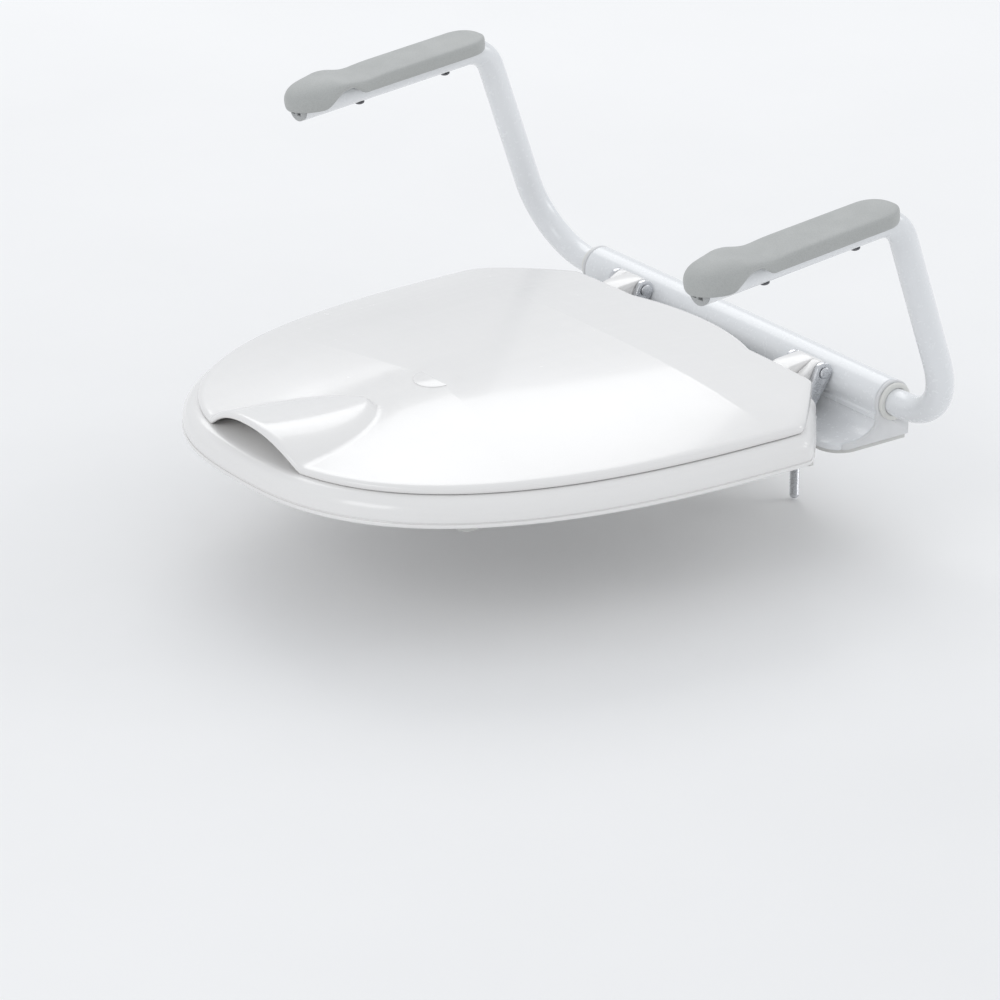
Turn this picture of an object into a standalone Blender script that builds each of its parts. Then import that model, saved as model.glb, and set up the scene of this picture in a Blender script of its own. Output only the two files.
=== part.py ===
"""Toilet seat and lid on a rear mounting rail with two fold-up arm supports.

Frame: metres, +Z up, the user faces -Y, +X is the right-hand arm seen from the front.
The origin is on the underside of the rail's rubber mat, straight below the arm pivot axis.
All shape numbers below are millimetres and are scaled once, when an object is made.
"""
import math

import bmesh
import bpy
from mathutils import Vector

MM = 0.001

# Rail: a round-topped extrusion with a flat foot, on a rubber mat, closed by end caps.
PIVOT_Z = 33.5
RAIL_HALF = 183.0
CAP_THICK = 3.2
RAIL_TOP_R = 16.0
BORE_R = 13.0
FOOT_Z = 3.5
FOOT_TOP = 8.5
FOOT_FRONT = -56.0
REAR_Y = 16.0
FOOT_CORNER_R = 20.0
CHAMBER_Y = (-13.0, 12.0)
CHAMBER_Z = (8.0, 16.5)
MAT_TOP = 3.2

# Fixing bolts: M8 at the usual 155 mm spacing, clamping a 25 mm ledge.
BOLT_X = 77.5
BOLT_Y = -5.0
SHANK_R = 3.9
SLOT_HALF_WIDTH = 4.4
SLOT_HALF_LENGTH = 8.0
BOLT_TIP = -81.0
LEDGE = 25.0
WASHER_H = 10.0

# Arm supports: 21 mm tube, leaning forward, with a flat pad and a palm rest.
ARM_X = 257.0
TUBE_R = 10.5
TUBE_IN_R = 8.5
ARM_INNER_END = 130.0
LOWER_BEND_R = 60.0
UPPER_BEND_R = 25.0
LEAN = math.radians(19.1)
PAD_TUBE_Z = PIVOT_Z + 168.5
TUBE_FRONT = -238.0
PAD_REAR = -64.0
PAD_FRONT = -248.0
PAD_HALF = 20.0
PAD_TOP = PAD_TUBE_Z + 13.8
PAD_UNDER = PAD_TUBE_Z + 2.2
PAD_SCREW_Y = (-101.0, -183.0)
PAD_TILT = math.radians(6.0)
PAD_TILT_Y = -150.0
STOP_X = 124.0

# Seat hinges.
HINGE_Y = -22.0
HINGE_Z = PIVOT_Z + 10.0
EYE_R = 7.8
PIN_R = 3.2
INNER_EAR = (93.0, 97.4)
LID_LUG = (98.0, 118.0)
SEAT_LUG = (118.5, 126.6)
OUTER_EAR = (127.1, 131.5)

# Seat ring and lid: plan outline, heights.
PLAN_CENTRE_Y = -245.0
LID_HALF = 211.0
LID_SIDE_REAR = -111.0
LID_FRONT = -452.0
LID_REAR = -48.0
LID_REAR_HALF = 152.0
LID_BULGE = 14.0
LID_BULGE_HALF = 74.0
PLAN_POWER = 2.6
SEAT_OUTSET = 12.0
SEAT_BOTTOM = 19.0
SEAT_TOP = 39.8
HOLE_HALF = 112.0
HOLE_CENTRE_Y = -250.0
HOLE_HALF_LENGTH = 138.0
LID_RIM = 40.3
LID_RIM_H = 4.6
LID_CROWN = 15.0
LID_REAR_DROP = 0.62
LID_THICK = 3.4
HOOD_HALF = 60.0
HOOD_LENGTH = 106.0
HOOD_H = 19.0

# Colour, roughness, metallic.
POWDER_WHITE = ((0.90, 0.91, 0.92), 0.28, 0.0)
CAP_WHITE = ((0.88, 0.88, 0.88), 0.35, 0.0)
SEAT_WHITE = ((0.93, 0.92, 0.91), 0.12, 0.0)
PAD_GREY = ((0.52, 0.53, 0.52), 0.55, 0.0)
PLUG_GREY = ((0.42, 0.43, 0.43), 0.5, 0.0)
RUBBER_GREY = ((0.30, 0.30, 0.31), 0.8, 0.0)
RUBBER_PALE = ((0.72, 0.72, 0.71), 0.7, 0.0)
NYLON = ((0.80, 0.80, 0.78), 0.45, 0.0)
STEEL = ((0.62, 0.63, 0.65), 0.3, 1.0)
DARK_STEEL = ((0.20, 0.20, 0.21), 0.4, 1.0)


def clear_scene():
    for obj in list(bpy.data.objects):
        bpy.data.objects.remove(obj, do_unlink=True)


def make_mesh(name, shape, origin):
    verts, faces = shape
    base = Vector(origin)
    mesh = bpy.data.meshes.new(name)
    mesh.from_pydata([(Vector(v) - base) * MM for v in verts], [], faces)
    bm = bmesh.new()
    bm.from_mesh(mesh)
    bmesh.ops.remove_doubles(bm, verts=bm.verts, dist=1e-7)
    bmesh.ops.recalc_face_normals(bm, faces=bm.faces)
    bm.to_mesh(mesh)
    bm.free()
    mesh.shade_smooth()
    mesh.set_sharp_from_angle(angle=math.radians(32.0))
    obj = bpy.data.objects.new(name, mesh)
    obj.location = base * MM
    bpy.context.scene.collection.objects.link(obj)
    return obj


def add_part(name, shape, look, origin=(0.0, 0.0, 0.0)):
    obj = make_mesh(name, shape, origin)
    colour, roughness, metallic = look
    material = bpy.data.materials.new(name)
    material.use_nodes = True
    shader = material.node_tree.nodes["Principled BSDF"]
    shader.inputs["Base Color"].default_value = (*colour, 1.0)
    shader.inputs["Roughness"].default_value = roughness
    shader.inputs["Metallic"].default_value = metallic
    obj.data.materials.append(material)
    return obj


def add_tool(name, shape):
    obj = make_mesh(name, shape, (0.0, 0.0, 0.0))
    obj.hide_render = True
    obj.display_type = "WIRE"
    return obj


def boolean(obj, tool, operation):
    mod = obj.modifiers.new(operation.lower() + "_" + tool.name, "BOOLEAN")
    mod.operation = operation
    mod.solver = "EXACT"
    mod.object = tool


def merge(*shapes):
    """Several closed shapes as one vertex and face list."""
    verts = []
    faces = []
    for shape_verts, shape_faces in shapes:
        base = len(verts)
        verts += shape_verts
        faces += [[index + base for index in face] for face in shape_faces]
    return verts, faces


def mirrored(shape, side):
    """The shape for the right (+1) or left (-1) side."""
    verts, faces = shape
    return [(side * x, y, z) for x, y, z in verts], faces


def skin(loops, closed_ends=True):
    """Quads between equal closed loops; with closed ends the first and last loop are filled."""
    count = len(loops[0])
    verts = [point for loop in loops for point in loop]
    faces = []
    for row in range(len(loops) - 1):
        for i in range(count):
            j = (i + 1) % count
            a = row * count
            faces.append([a + i, a + j, a + count + j, a + count + i])
    if closed_ends:
        faces.append(list(range(count)))
        last = (len(loops) - 1) * count
        faces.append([last + i for i in range(count)])
    else:
        last = (len(loops) - 1) * count
        for i in range(count):
            j = (i + 1) % count
            faces.append([last + i, last + j, j, i])
    return verts, faces


def extrude_x(profile, x0, x1):
    return skin([[(x, y, z) for y, z in profile] for x in (x0, x1)])


def extrude_z(outline, z0, z1):
    return skin([[(x, y, z) for x, y in outline] for z in (z0, z1)])


def box(low, high):
    outline = [(low[0], low[1]), (high[0], low[1]), (high[0], high[1]), (low[0], high[1])]
    return extrude_z(outline, low[2], high[2])


def circle(centre, radius, count, start=0.0, turn=2.0 * math.pi):
    """Points on an arc; a full turn leaves out the repeated last point."""
    full = abs(turn - 2.0 * math.pi) < 1e-9
    steps = count if full else count - 1
    angles = [start + turn * i / steps for i in range(count)]
    return [(centre[0] + radius * math.cos(a), centre[1] + radius * math.sin(a)) for a in angles]


def ring_frame(axis):
    """Two unit vectors across the given axis letter, in right-handed order."""
    return {
        "x": (Vector((0, 1, 0)), Vector((0, 0, 1)), Vector((1, 0, 0))),
        "y": (Vector((0, 0, 1)), Vector((1, 0, 0)), Vector((0, 1, 0))),
        "z": (Vector((1, 0, 0)), Vector((0, 1, 0)), Vector((0, 0, 1))),
    }[axis]


def turned(profile, centre, axis, count, hollow=False):
    """A body of revolution from (radius, height) pairs; a hollow profile is a closed loop."""
    u, v, w = ring_frame(axis)
    loops = []
    for radius, height in profile:
        base = Vector(centre) + w * height
        loops.append([tuple(base + u * px + v * py) for px, py in circle((0, 0), radius, count)])
    return skin(loops, closed_ends=not hollow)


def rod(centre, axis, radius, low, high, count=20):
    return turned([(radius, low), (radius, high)], centre, axis, count)


def hull(points):
    """Convex outline round a set of 2-D points."""
    points = sorted(set(points))
    chains = []
    for ordered in (points, points[::-1]):
        chain = []
        for p in ordered:
            while len(chain) > 1:
                ax, ay = chain[-1][0] - chain[-2][0], chain[-1][1] - chain[-2][1]
                bx, by = p[0] - chain[-2][0], p[1] - chain[-2][1]
                if ax * by - ay * bx > 1e-9:
                    break
                chain.pop()
            chain.append(p)
        chains.append(chain[:-1])
    return chains[0] + chains[1]


def smooth(value):
    value = min(1.0, max(0.0, value))
    return value * value * (3.0 - 2.0 * value)


# ---------------------------------------------------------------- rail


def rail_profile_outline():
    """Round top, upright front skirt, a sweep into the flat foot, upright back."""
    top = circle((0.0, PIVOT_Z), RAIL_TOP_R, 15, 0.0, math.radians(202.0))
    skirt = [(-13.9, 22.0), (-14.2, 19.5), (-16.6, 16.6), (-20.0, 12.6), (-25.5, 9.7)]
    foot = [(-34.0, FOOT_TOP), (FOOT_FRONT + 1.2, FOOT_TOP), (FOOT_FRONT, FOOT_TOP - 1.2)]
    foot += [(FOOT_FRONT, FOOT_Z), (REAR_Y, FOOT_Z)]
    return top + skirt + foot


def corner_piece(side):
    """The material outside the foot's rounded front corner."""
    reach = RAIL_HALF + CAP_THICK + 0.3
    centre = (reach - FOOT_CORNER_R, FOOT_FRONT + FOOT_CORNER_R)
    arc = circle(centre, FOOT_CORNER_R, 9, -math.pi / 2.0, math.pi / 2.0)
    beyond = FOOT_FRONT - 5.0
    outline = arc + [(reach + 5.0, centre[1]), (reach + 5.0, beyond), (centre[0], beyond)]
    return mirrored(extrude_z(outline, 1.0, 30.0), side)


def slot_outline(x):
    half = SLOT_HALF_LENGTH - SLOT_HALF_WIDTH
    right = circle((x + half, BOLT_Y), SLOT_HALF_WIDTH, 7, -math.pi / 2.0, math.pi)
    left = circle((x - half, BOLT_Y), SLOT_HALF_WIDTH, 7, math.pi / 2.0, math.pi)
    return right + left


def rail_tools():
    reach = RAIL_HALF + 12.0
    bore = rod((0, 0, PIVOT_Z), "x", BORE_R, -reach, reach, 32)
    through = add_tool("tool_bore", merge(bore, corner_piece(1), corner_piece(-1)))
    low = (-reach, CHAMBER_Y[0], CHAMBER_Z[0])
    high = (reach, CHAMBER_Y[1], CHAMBER_Z[1])
    holes = [rod((s * STOP_X, 0, PIVOT_Z), "y", 1.8, 11.0, 20.0, 12) for s in (1, -1)]
    chamber = add_tool("tool_chamber", merge(box(low, high), *holes))
    slots = [extrude_z(slot_outline(s * BOLT_X), 1.0, 12.0) for s in (1, -1)]
    slot_tool = add_tool("tool_slots", merge(*slots))
    return through, chamber, slot_tool


def build_rail():
    through, chamber, slots = rail_tools()
    shape = extrude_x(rail_profile_outline(), -RAIL_HALF, RAIL_HALF)
    rail = add_part("rail_profile", shape, POWDER_WHITE)
    for tool in (through, chamber, slots):
        boolean(rail, tool, "DIFFERENCE")
    for side, word in ((1, "right"), (-1, "left")):
        inner = RAIL_HALF + 0.3
        cap_shape = mirrored(extrude_x(rail_profile_outline(), inner, inner + CAP_THICK), side)
        cap = add_part("rail_end_cap_" + word, cap_shape, CAP_WHITE)
        boolean(cap, through, "DIFFERENCE")


def build_mat():
    half = RAIL_HALF + 1.5
    front = FOOT_FRONT + 2.0
    r = FOOT_CORNER_R - 1.0
    right = circle((half - r, front + r), r, 9, -math.pi / 2.0, math.pi / 2.0)
    left = [(-x, y) for x, y in reversed(right)]
    outline = right + [(half, REAR_Y - 2.0), (-half, REAR_Y - 2.0)] + left
    mat = add_part("base_mat", extrude_z(outline, 0.0, MAT_TOP), RUBBER_PALE)
    slots = [extrude_z(slot_outline(s * BOLT_X), -2.0, 6.0) for s in (1, -1)]
    boolean(mat, add_tool("tool_mat_slots", merge(*slots)), "DIFFERENCE")


def build_bush(side, word):
    """Flanged plastic sleeve between the arm tube and the rail's bore."""
    face = RAIL_HALF + CAP_THICK + 0.6
    inner = TUBE_R + 0.3
    sleeve = BORE_R - 0.3
    profile = [(inner, 150.0), (sleeve, 150.0), (sleeve, face), (14.6, face)]
    profile += [(14.6, face + 2.2), (13.8, face + 3.0), (inner, face + 3.0)]
    shape = turned(profile, (0, 0, PIVOT_Z), "x", 24, hollow=True)
    add_part("pivot_bush_" + word, mirrored(shape, side), NYLON)


def build_stop_pin(side, word):
    shape = rod((side * STOP_X, 0, PIVOT_Z), "y", 1.5, 11.3, REAR_Y, 12)
    add_part("arm_stop_pin_" + word, shape, STEEL)


def build_bolt(side, word):
    """Square-headed M8 bolt with a rounded tip."""
    shank_profile = [(SHANK_R, CHAMBER_Z[0] + 2.5), (SHANK_R, BOLT_TIP + 3.4), (3.4, BOLT_TIP + 1.4)]
    shank_profile += [(2.1, BOLT_TIP + 0.35), (0.7, BOLT_TIP)]
    shank = turned(shank_profile, (side * BOLT_X, BOLT_Y, 0), "z", 20)
    x = side * BOLT_X
    low = CHAMBER_Z[0] + 0.3
    head = box((x - 6.0, BOLT_Y - 6.0, low), (x + 6.0, BOLT_Y + 6.0, low + 5.5))
    bolt = add_part("bolt_" + word, head, STEEL)
    boolean(bolt, add_tool("tool_shank_" + word, shank), "UNION")


def build_washer(side, word):
    """Stepped cone washer that centres itself in the fixing hole."""
    top = -LEDGE - 0.3
    bore = SHANK_R + 0.4
    profile = [(bore, top), (9.0, top), (15.0, top - 5.0), (16.0, top - 6.0), (16.0, top - WASHER_H)]
    profile += [(bore, top - WASHER_H)]
    centre = (side * BOLT_X, BOLT_Y, 0)
    shape = turned(profile, centre, "z", 20, hollow=True)
    add_part("cone_washer_" + word, shape, RUBBER_GREY, (side * BOLT_X, BOLT_Y, top))


def wing_shape(x, top, direction):
    """One wing of the nut, standing out from the hub."""
    outline = [(4.0, top - 9.0), (16.5, top - 13.0), (20.5, top - 11.5)]
    outline += [(20.5, top - 6.0), (15.0, top - 3.0), (4.0, top - 2.0)]
    loops = [[(x + direction * u, BOLT_Y + w, z) for u, z in outline] for w in (-1.7, 1.7)]
    return skin(loops)


def build_wing_nut(side, word):
    top = -LEDGE - WASHER_H - 0.7
    x = side * BOLT_X
    centre = (x, BOLT_Y, 0)
    hub_profile = [(9.5, top), (9.5, top - 1.6), (7.6, top - 3.0), (6.8, top - 11.0)]
    nut = add_part("wing_nut_" + word, turned(hub_profile, centre, "z", 20), NYLON, (x, BOLT_Y, top))
    wings = add_tool("tool_wings_" + word, merge(wing_shape(x, top, 1), wing_shape(x, top, -1)))
    hole = rod(centre, "z", SHANK_R + 0.35, top - 20.0, top + 5.0, 20)
    bore = add_tool("tool_nut_bore_" + word, hole)
    boolean(nut, wings, "UNION")
    boolean(nut, bore, "DIFFERENCE")


# ---------------------------------------------------------------- hinges


def eye_points(count=20):
    return circle((HINGE_Y, HINGE_Z), EYE_R, count)


def build_bracket(side, word):
    """U bracket: two ears on a base plate that stands on the rail's foot."""
    low = FOOT_TOP + 0.3
    ear = hull(eye_points() + [(-46.0, low), (-36.0, low)])
    base = box((INNER_EAR[0], -54.5, low), (OUTER_EAR[1], -36.0, low + 3.0))
    bracket = add_part("hinge_bracket_" + word, mirrored(base, side), STEEL)
    ears = [mirrored(extrude_x(ear, *span), side) for span in (INNER_EAR, OUTER_EAR)]
    boolean(bracket, add_tool("tool_ears_" + word, merge(*ears)), "UNION")
    return bracket


def build_pin(side, word):
    inner = INNER_EAR[0] - 0.3
    outer = OUTER_EAR[1] + 0.3
    profile = [(3.0, inner - 1.4), (4.6, inner - 0.9), (4.6, inner), (PIN_R, inner)]
    profile += [(PIN_R, outer), (4.6, outer), (4.6, outer + 0.9), (3.0, outer + 1.4)]
    shape = turned(profile, (0, HINGE_Y, HINGE_Z), "x", 16)
    add_part("hinge_pin_" + word, mirrored(shape, side), STEEL)


def build_bracket_screw(side, word, x, place):
    low = FOOT_TOP + 3.6
    profile = [(3.6, low), (3.6, low + 0.8), (2.6, low + 1.9), (1.0, low + 2.2)]
    name = "hinge_screw_" + word + "_" + place
    add_part(name, turned(profile, (side * x, -50.0, 0), "z", 12), STEEL)


def build_hinges():
    span = OUTER_EAR[1] + 8.0
    bore = add_tool("tool_hinge_bore", rod((0, HINGE_Y, HINGE_Z), "x", PIN_R + 0.3, -span, span, 20))
    for side, word in ((1, "right"), (-1, "left")):
        boolean(build_bracket(side, word), bore, "DIFFERENCE")
        build_pin(side, word)
        build_bracket_screw(side, word, 104.0, "inner")
        build_bracket_screw(side, word, 120.5, "outer")
    return bore


# ---------------------------------------------------------------- seat ring and lid


def front_arc(outset, count):
    """From the widest point round to the middle of the front, spaced closer toward the front."""
    half = LID_HALF + outset
    reach = LID_SIDE_REAR - LID_FRONT + outset
    dense = []
    for i in range(401):
        angle = math.pi / 2.0 * i / 400.0
        x = half * math.cos(angle) ** (2.0 / PLAN_POWER)
        dense.append((x, LID_SIDE_REAR - reach * math.sin(angle) ** (2.0 / PLAN_POWER)))
    travel = [0.0]
    for start, end in zip(dense, dense[1:]):
        travel.append(travel[-1] + math.dist(start, end))
    points = []
    for i in range(1, count):
        target = travel[-1] * (1.0 - (1.0 - i / count) ** 1.35)
        k = next(n for n, value in enumerate(travel) if value >= target)
        points.append(dense[k])
    return points + [(0.0, LID_SIDE_REAR - reach)]


def half_plan(outset, rear_half, rear_y, bulge):
    """Right half of the plan outline, from the middle of the rear edge to the front."""
    points = []
    for i in range(7):
        x = LID_BULGE_HALF * i / 6.0
        points.append((x, rear_y + bulge * (1.0 - (x / LID_BULGE_HALF) ** 2)))
    for x in (86.0, 97.6, 118.4, 136.0):
        points.append((x, rear_y))
    points.append((rear_half - 3.0, rear_y - 0.4))
    points.append((rear_half, rear_y - 3.0))
    wide = LID_HALF + outset
    corner = (rear_half + 0.52 * (wide - rear_half), rear_y + 0.48 * (LID_SIDE_REAR - rear_y))
    points.append(corner)
    points.append((wide - 1.8, LID_SIDE_REAR + 6.0))
    points.append((wide, LID_SIDE_REAR - 1.0))
    return points + front_arc(outset, 22)


def plan(outset, rear_half, rear_y, bulge):
    right = half_plan(outset, rear_half, rear_y, bulge)
    left = [(-x, y) for x, y in right[-2:0:-1]]
    return right + left


def toward(point, target, distance):
    dx = target[0] - point[0]
    dy = target[1] - point[1]
    length = math.hypot(dx, dy)
    return (point[0] + dx * distance / length, point[1] + dy * distance / length)


def hole_point(point):
    """Point of the oval opening seen from its centre in the same direction as the outer point."""
    angle = math.atan2(point[1] - HOLE_CENTRE_Y, point[0])
    c = abs(math.cos(angle)) / HOLE_HALF
    s = abs(math.sin(angle)) / HOLE_HALF_LENGTH
    radius = (c ** 2.2 + s ** 2.2) ** (-1.0 / 2.2)
    return (radius * math.cos(angle), HOLE_CENTRE_Y + radius * math.sin(angle))


def seat_section(outer, inner):
    """Closed cross-section between the outline and the opening, hollowed from below."""
    b = SEAT_BOTTOM
    t = SEAT_TOP
    out = [(0.0, t - 13.0), (0.0, b + 3.6), (1.1, b + 1.0), (3.6, b), (7.0, b), (8.2, b + 11.0)]
    into = [(8.2, b + 11.0), (7.0, b), (3.6, b), (1.1, b + 1.0), (0.0, b + 4.0)]
    into += [(0.0, t - 9.0), (2.6, t - 3.2), (8.5, t - 0.5)]
    top = [(14.0, t), (6.5, t - 1.7), (1.9, t - 6.4)]
    loop = [(*toward(outer, inner, d), z) for d, z in out]
    loop += [(*toward(inner, outer, d), z) for d, z in into]
    loop += [(*toward(outer, inner, d), z) for d, z in top]
    return loop


def build_seat(bore):
    outer = plan(SEAT_OUTSET, LID_REAR_HALF + 4.0, LID_REAR + 2.0, 0.0)
    loops = [seat_section(point, hole_point(point)) for point in outer]
    seat = add_part("seat_ring", skin(loops, closed_ends=False), SEAT_WHITE, (0, HINGE_Y, HINGE_Z))
    outline = hull(eye_points() + [(-53.5, 24.0), (-53.5, 35.0)])
    lugs = [mirrored(extrude_x(outline, *SEAT_LUG), side) for side in (1, -1)]
    boolean(seat, add_tool("tool_seat_lugs", merge(*lugs)), "UNION")
    boolean(seat, bore, "DIFFERENCE")


def hood_height(x, y):
    """Height of the finger lift: a hood that opens to the front and tapers to the rear."""
    t = (y - LID_FRONT) / HOOD_LENGTH
    if t >= 1.0:
        return 0.0
    t = max(0.0, t)
    half = HOOD_HALF * math.sqrt(max(1e-6, 1.0 - t ** 1.7))
    u = min(1.0, abs(x) / half)
    return HOOD_H * (1.0 - u ** 2.4) ** 1.05 * (1.0 - 0.78 * t)


def crown_height(x, y):
    """Height of the domed top over the rim's shoulder."""
    across = min(1.0, abs(x) / LID_HALF) ** PLAN_POWER
    along = min(1.0, max(0.0, (LID_SIDE_REAR - y) / (LID_SIDE_REAR - LID_FRONT))) ** PLAN_POWER
    dome = 1.0 - min(1.0, across + along)
    back = min(1.0, max(0.0, (y - LID_SIDE_REAR) / (LID_REAR - LID_SIDE_REAR)))
    return LID_CROWN * dome ** 0.9 * (1.0 - LID_REAR_DROP * back ** 1.6)


def lid_ring(outline, scale, inset, rise=None, drop=0.0):
    """One ring of the lid skin: at a fixed rise over the rim, or at a drop below the top."""
    ring = []
    for point in outline:
        px, py = toward(point, (0.0, PLAN_CENTRE_Y), inset)
        px = px * scale
        py = PLAN_CENTRE_Y + (py - PLAN_CENTRE_Y) * scale
        height = rise
        if rise is None:
            height = LID_RIM_H + 0.9 + crown_height(px, py) - drop
        ring.append((px, py, LID_RIM + height + hood_height(px, py)))
    return ring


def lid_loops():
    outline = plan(0.0, LID_REAR_HALF, LID_REAR, LID_BULGE)
    scales = (0.985, 0.92, 0.83, 0.70, 0.5, 0.22)
    outside = [lid_ring(outline, s, 0.0) for s in reversed(scales)]
    outside.append(lid_ring(outline, 1.0, 0.6, drop=0.9))
    outside.append(lid_ring(outline, 1.0, 0.0, drop=2.2))
    outside.append(lid_ring(outline, 1.0, 0.0, rise=0.0))
    inside = [lid_ring(outline, 1.0, LID_THICK, rise=0.0)]
    inside.append(lid_ring(outline, 1.0, LID_THICK + 0.2, drop=LID_THICK + 0.6))
    inside += [lid_ring(outline, s * 0.985, LID_THICK * 0.6, drop=LID_THICK) for s in scales]
    return outside + inside


def build_lid(bore):
    lid = add_part("lid_shell", skin(lid_loops()), SEAT_WHITE, (0, HINGE_Y, HINGE_Z))
    tail = [(-58.0, 41.2), (-58.0, 43.6), (-49.5, 44.6), (-43.0, 49.6)]
    outline = hull(eye_points() + tail)
    lugs = [mirrored(extrude_x(outline, *LID_LUG), side) for side in (1, -1)]
    boolean(lid, add_tool("tool_lid_lugs", merge(*lugs)), "UNION")
    boolean(lid, bore, "DIFFERENCE")


def build_seat_bumper(x, y, name):
    """Rubber block standing in the seat's hollow underside."""
    top = SEAT_BOTTOM + 10.6
    loops = []
    for half_x, half_y, z in ((6.2, 15.0, top), (6.2, 15.0, 6.0), (7.0, 16.5, 1.0), (6.4, 15.8, 0.0)):
        right = circle((0.0, half_y - half_x), half_x, 7, 0.0, math.pi)
        left = circle((0.0, half_x - half_y), half_x, 7, math.pi, math.pi)
        loops.append([(x + px, y + py, z) for px, py in right + left])
    add_part(name, skin(loops), RUBBER_PALE, (x, y, 0.0))


def lid_underside(x, y):
    """Height of the lid's inner face over a point of the seat."""
    return LID_RIM + LID_RIM_H + 0.9 + crown_height(x, y) + hood_height(x, y) - LID_THICK


def build_lid_bumper(x, y, name):
    """Rubber button between the seat's top and the lid's inner face."""
    low = SEAT_TOP + 0.3
    top = min(lid_underside(px, py) for px, py in circle((x, y), 7.0, 12)) - 0.5
    profile = [(5.0, low), (6.5, low + 0.8), (7.0, low + 2.2), (7.0, top)]
    add_part(name, turned(profile, (x, y, 0), "z", 16), RUBBER_PALE, (x, y, low))


def build_bumpers():
    for side, word in ((1, "right"), (-1, "left")):
        build_seat_bumper(side * 160.0, -150.0, "seat_bumper_rear_" + word)
        build_seat_bumper(side * 134.0, -344.0, "seat_bumper_front_" + word)
        build_lid_bumper(side * 170.0, -170.0, "lid_bumper_rear_" + word)
        build_lid_bumper(side * 128.0, -366.0, "lid_bumper_front_" + word)


# ---------------------------------------------------------------- arm supports


def bend(start, direction_in, direction_out, radius, steps):
    """Points on a bend that leaves start along direction_in and ends along direction_out."""
    d_in = Vector(direction_in).normalized()
    d_out = Vector(direction_out).normalized()
    total = d_in.angle(d_out)
    inward = (d_out - d_in * d_in.dot(d_out)).normalized()
    centre = Vector(start) + inward * radius
    points = []
    for i in range(1, steps + 1):
        a = total * i / steps
        points.append(centre - inward * (radius * math.cos(a)) + d_in * (radius * math.sin(a)))
    return points


def tilt_point(point):
    """Move a point drawn for a level pad to its place on the pad's slope."""
    x, y, z = point
    along = y - PAD_TILT_Y
    above = z - PAD_TUBE_Z
    c = math.cos(PAD_TILT)
    s = math.sin(PAD_TILT)
    return (x, PAD_TILT_Y + along * c - above * s, PAD_TUBE_Z + along * s + above * c)


def tilted(shape):
    verts, faces = shape
    return [tilt_point(v) for v in verts], faces


def arm_path(front=TUBE_FRONT):
    """Centre line of the right arm tube, from inside the rail to the front of the pad."""
    upright = Vector((0.0, -math.sin(LEAN), math.cos(LEAN)))
    forward = Vector((0.0, -math.cos(PAD_TILT), -math.sin(PAD_TILT)))
    points = [Vector((ARM_INNER_END, 0.0, PIVOT_Z)), Vector((ARM_X - LOWER_BEND_R, 0.0, PIVOT_Z))]
    points += bend(points[-1], (1, 0, 0), upright, LOWER_BEND_R, 10)
    tangent = UPPER_BEND_R * math.tan(upright.angle(forward) / 2.0)
    slope = math.tan(PAD_TILT)
    gap = PAD_TUBE_Z - points[-1].z + (points[-1].y - PAD_TILT_Y) * slope
    rise = gap / (upright.z - upright.y * slope) - tangent
    points.append(points[-1] + upright * rise)
    points += bend(points[-1], upright, forward, UPPER_BEND_R, 7)
    points.append(Vector(tilt_point((ARM_X, front, PAD_TUBE_Z))))
    return points


def sweep_loops(points, radius, count):
    """Circles across a path, kept untwisted by carrying the frame along."""
    loops = []
    side = Vector((0.0, 1.0, 0.0))
    for i, point in enumerate(points):
        before = points[max(0, i - 1)]
        after = points[min(len(points) - 1, i + 1)]
        tangent = (after - before).normalized()
        side = (side - tangent * side.dot(tangent)).normalized()
        other = tangent.cross(side)
        loops.append([tuple(point + side * a + other * b) for a, b in circle((0, 0), radius, count)])
    return loops


def build_arm_tube(side, word):
    path = arm_path()
    outer = sweep_loops(path, TUBE_R, 20)
    inner = sweep_loops(path, TUBE_IN_R, 20)
    shape = skin(outer + inner[::-1], closed_ends=False)
    add_part("arm_tube_" + word, mirrored(shape, side), POWDER_WHITE, (side * ARM_X, 0, PIVOT_Z))


def pad_stations():
    """Half-width, top and underside of the pad at stations from its rear end to its front."""
    stations = []
    for i in range(6):
        a = math.radians(8.0 + 82.0 * i / 5.0)
        y = PAD_REAR - PAD_HALF * (1.0 - math.cos(a))
        drop = 1.6 * (1.0 - math.sin(a))
        stations.append((y, PAD_HALF * math.sin(a), PAD_TOP - drop, PAD_UNDER))
    for y in (-110.0, -140.0, -162.0):
        stations.append((y, PAD_HALF, PAD_TOP, PAD_UNDER))
    for i in range(1, 14):
        t = i / 13.0
        y = -170.0 + (PAD_FRONT + 170.0) * math.sin(t * math.pi / 2.0)
        knob = smooth((-y - 176.0) / 36.0)
        half = PAD_HALF + 3.5 * knob
        nose = max(0.0, (-y - 222.0) / (-PAD_FRONT - 222.0))
        half = half * math.sqrt(max(0.012, 1.0 - nose * nose))
        top = PAD_TOP + 4.8 * knob - 12.5 * (1.0 - math.sqrt(max(0.0, 1.0 - nose * nose)))
        lift = smooth((-y - 184.0) / 16.0) * (1.0 - smooth((-y - 205.0) / 22.0))
        curl = smooth((-y - 205.0) / 22.0)
        under = PAD_UNDER + 8.6 * lift - 2.2 * curl
        stations.append((y, half, top, min(under, top - 2.5)))
    return stations


def pad_section(y, half, top, under):
    """Closed outline across the pad: rounded edges and a slightly crowned top."""
    edge = min(1.0, half / 8.0)
    depth = top - under
    right = [(half - 2.0 * edge, under), (half - 0.5 * edge, under + 0.12 * depth)]
    right += [(half, under + 0.35 * depth), (half - 0.5 * edge, top - 0.34 * depth)]
    right += [(half - 2.4 * edge, top - 0.14 * depth)]
    right += [(half * 0.66, top - 0.04 * depth), (half * 0.33, top - 0.01 * depth)]
    left = [(-x, z) for x, z in reversed(right)]
    loop = right + [(0.0, top)] + left + [(0.0, under)]
    return [(ARM_X + x, y, z) for x, z in loop]


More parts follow.
